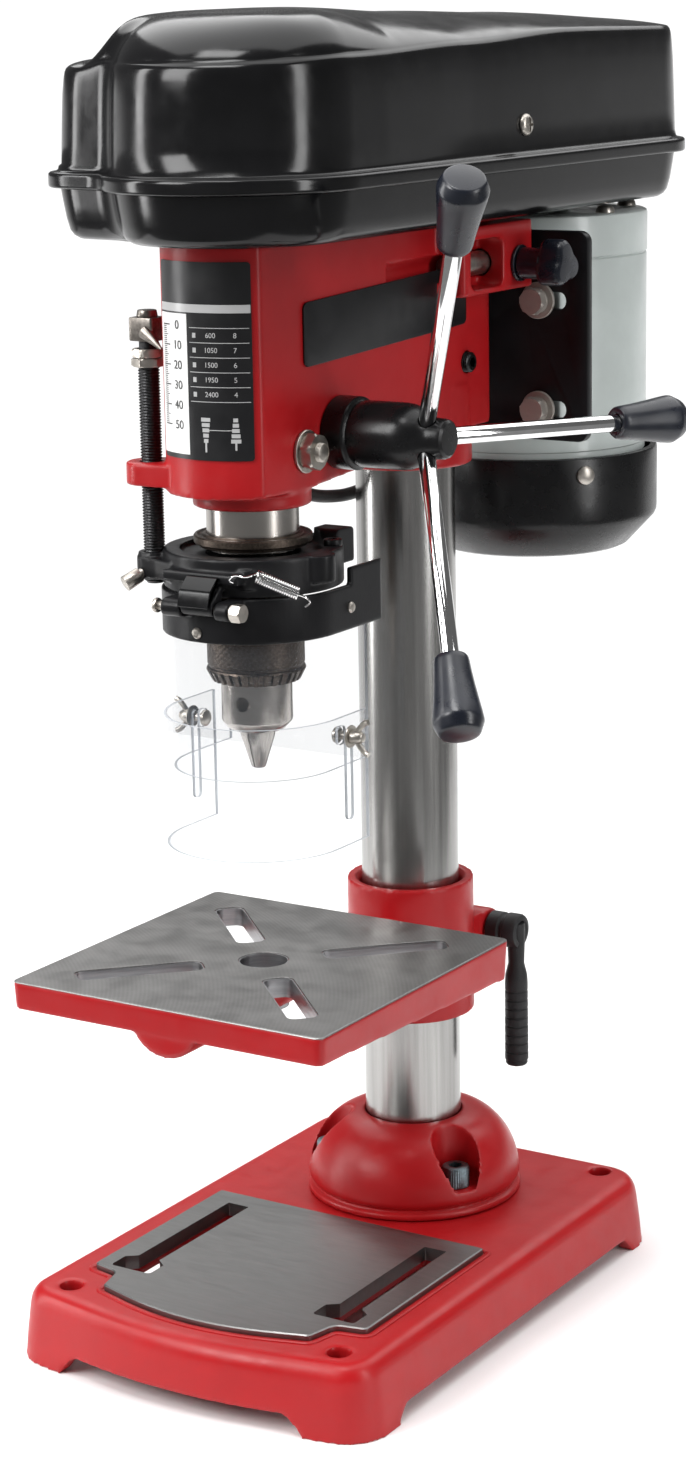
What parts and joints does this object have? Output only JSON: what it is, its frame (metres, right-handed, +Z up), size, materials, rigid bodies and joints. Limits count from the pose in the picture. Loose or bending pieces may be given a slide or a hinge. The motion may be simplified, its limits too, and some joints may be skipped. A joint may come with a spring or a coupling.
{
  "type": "bench drill press",
  "caption": "Bench drill press with a belt drive under a hinged cover, a quill fed by a three arm handle, a hinged chuck guard and a tilting table on a round column.",
  "frame": {"origin": "under the middle of the bounding box, on the bench surface", "axes": "+Z up along the column, -Y towards the operator, +X to the side of the feed handle"},
  "size_m": [0.2288, 0.3938, 0.592],
  "materials": {
    "red_paint": "glossy enamel on cast iron",
    "black_gloss": "gloss black powder coat on sheet steel",
    "black_metal": "satin black paint",
    "black_plastic": "moulded, satin",
    "steel": "ground or machined steel",
    "chrome": "bright plated",
    "iron": "machined cast iron",
    "dark_steel": "oil blackened steel",
    "motor_grey": "light grey semi-gloss paint",
    "clear": "clear polycarbonate sheet",
    "rubber": "black rubber",
    "green_plastic": "moulded green",
    "red_plastic": "moulded red"
  },
  "bodies": {
    "frame": {"base": "red_paint", "column_flange": "red_paint", "flange_bolt_1": "dark_steel", "flange_bolt_2": "dark_steel", "flange_bolt_3": "dark_steel", "column": "steel", "head_casting": "red_paint", "quill_guide_screw": "dark_steel", "pulley_bearing": "steel", "return_spring_cap": "black_metal", "return_spring": "dark_steel", "switch_box": "black_plastic", "belt_housing": "black_gloss", "drive_belt": "rubber", "motor_lead": "rubber"},
    "quill_group": {"quill": "steel", "quill_bearing": "steel", "quill_collar": "steel", "guard_bracket": "black_metal", "depth_rod": "dark_steel", "depth_pointer": "dark_steel", "guard_hinge_pin": "chrome", "guard_spring": "chrome"},
    "depth_stop": {"depth_stop_nut_upper": "chrome", "depth_stop_nut_lower": "chrome"},
    "spindle_group": {"spindle": "steel", "chuck_body": "steel"},
    "sleeve": {"chuck_sleeve": "dark_steel"},
    "jaw_1": {"chuck_jaw_1": "steel"},
    "jaw_2": {"chuck_jaw_2": "steel"},
    "jaw_3": {"chuck_jaw_3": "steel"},
    "front_pulley": {"spindle_pulley": "iron"},
    "feed_handle": {"pinion_shaft": "steel", "feed_hub": "black_metal", "feed_rod_1": "chrome", "feed_rod_2": "chrome", "feed_rod_3": "chrome", "feed_knob_1": "black_plastic", "feed_knob_2": "black_plastic", "feed_knob_3": "black_plastic"},
    "motor": {"motor_plate": "black_metal", "motor_housing": "motor_grey", "motor_end_cap": "black_metal", "motor_bolt_1": "steel", "motor_bolt_2": "steel", "motor_slide_bar_right": "steel", "motor_slide_bar_left": "steel"},
    "rotor": {"motor_rotor": "steel", "motor_pulley": "iron"},
    "knob": {"tension_knob": "black_plastic"},
    "guard": {"guard_band": "black_metal", "guard_shield": "clear"},
    "guard_lower": {"lower_shield": "clear"},
    "bracket": {"table_bracket": "red_paint"},
    "tilting_table": {"table": "red_paint", "table_tilt_bolt": "dark_steel"},
    "clamp": {"table_clamp_lever": "black_plastic"},
    "lid": {"cover_lid": "black_gloss"},
    "start": {"start_button": "green_plastic"},
    "stop": {"stop_button": "red_plastic"}
  },
  "joints": [
    {"name": "quill_feed", "type": "slide", "parent": "frame", "child": "quill_group", "axis": [0, 0, -1], "range_m": [0, 0.0395], "stiffness_N_per_m": 300, "springref_m": -0.15},
    {"name": "feed_turn", "type": "hinge", "parent": "frame", "child": "feed_handle", "pos_m": [-0.01837, -0.08559, 0.416], "axis": [1, 0, 0], "range_deg": [0, 302]},
    {"name": "pulley_turn", "type": "hinge", "parent": "frame", "child": "front_pulley", "pos_m": [-0.01837, -0.11359, 0.54], "axis": [0, 0, 1], "continuous": true},
    {"name": "spindle_turn", "type": "hinge", "parent": "quill_group", "child": "spindle_group", "pos_m": [-0.01837, -0.11359, 0.4], "axis": [0, 0, 1], "continuous": true},
    {"name": "motor_slide", "type": "slide", "parent": "frame", "child": "motor", "axis": [0, 1, 0], "range_m": [-0.0045, 0.003], "deforming": ["drive_belt", "motor_lead"]},
    {"name": "rotor_turn", "type": "hinge", "parent": "motor", "child": "rotor", "pos_m": [-0.01837, 0.13541, 0.44], "axis": [0, 0, 1], "continuous": true},
    {"name": "depth_stop_turn", "type": "slide", "parent": "quill_group", "child": "depth_stop", "axis": [0, 0, 1], "range_m": [-0.039, 0]},
    {"name": "sleeve_turn", "type": "hinge", "parent": "spindle_group", "child": "sleeve", "pos_m": [-0.01837, -0.11359, 0.33], "axis": [0, 0, 1], "range_deg": [0, 3262]},
    {"name": "jaw_1_slide", "type": "slide", "parent": "spindle_group", "child": "jaw_1", "axis": [0, 0.3134, 0.9496], "range_m": [0, 0.0145]},
    {"name": "jaw_2_slide", "type": "slide", "parent": "spindle_group", "child": "jaw_2", "axis": [-0.2714, -0.1567, 0.9496], "range_m": [0, 0.0145]},
    {"name": "jaw_3_slide", "type": "slide", "parent": "spindle_group", "child": "jaw_3", "axis": [0.2714, -0.1567, 0.9496], "range_m": [0, 0.0145]},
    {"name": "knob_turn", "type": "hinge", "parent": "frame", "child": "knob", "pos_m": [0.03163, 0.04341, 0.478], "axis": [1, 0, 0], "range_deg": [0, 540]},
    {"name": "guard_hinge", "type": "hinge", "parent": "quill_group", "child": "guard", "pos_m": [-0.01837, -0.15859, 0.349], "axis": [1, 0, 0], "range_deg": [-130, 0], "stiffness_Nm_per_rad": 0.06, "springref_deg": 143.24, "deforming": ["guard_spring"]},
    {"name": "lower_shield_slide", "type": "slide", "parent": "guard", "child": "guard_lower", "axis": [0, 0, 1], "range_m": [0, 0.035]},
    {"name": "table_height", "type": "slide", "parent": "frame", "child": "bracket", "axis": [0, 0, -1], "range_m": [-0.04, 0.03]},
    {"name": "table_tilt", "type": "hinge", "parent": "bracket", "child": "tilting_table", "pos_m": [-0.01837, -0.03659, 0.155], "axis": [0, 1, 0], "range_deg": [-45, 45]},
    {"name": "clamp_turn", "type": "hinge", "parent": "bracket", "child": "clamp", "pos_m": [0.01163, 0.04841, 0.158], "axis": [1, 0, 0], "range_deg": [0, 90]},
    {"name": "lid_hinge", "type": "hinge", "parent": "frame", "child": "lid", "pos_m": [-0.11137, 0.01341, 0.519], "axis": [0, -1, 0], "range_deg": [0, 95]},
    {"name": "start_press", "type": "slide", "parent": "frame", "child": "start", "axis": [1, 0, 0], "range_m": [0, 0.003], "stiffness_N_per_m": 400, "springref_m": -0.0005},
    {"name": "stop_press", "type": "slide", "parent": "frame", "child": "stop", "axis": [1, 0, 0], "range_m": [0, 0.003], "stiffness_N_per_m": 400, "springref_m": -0.0005}
  ],
  "couplings": [
    {"joint": "feed_turn", "follows": "quill_feed", "rad_per_m": 133.33},
    {"joint": "spindle_turn", "follows": "pulley_turn", "ratio": 1},
    {"joint": "rotor_turn", "follows": "pulley_turn", "ratio": 1.1494},
    {"joint": "jaw_1_slide", "follows": "sleeve_turn", "m_per_rad": 0.00025451},
    {"joint": "jaw_2_slide", "follows": "sleeve_turn", "m_per_rad": 0.00025451},
    {"joint": "jaw_3_slide", "follows": "sleeve_turn", "m_per_rad": 0.00025451}
  ]
}
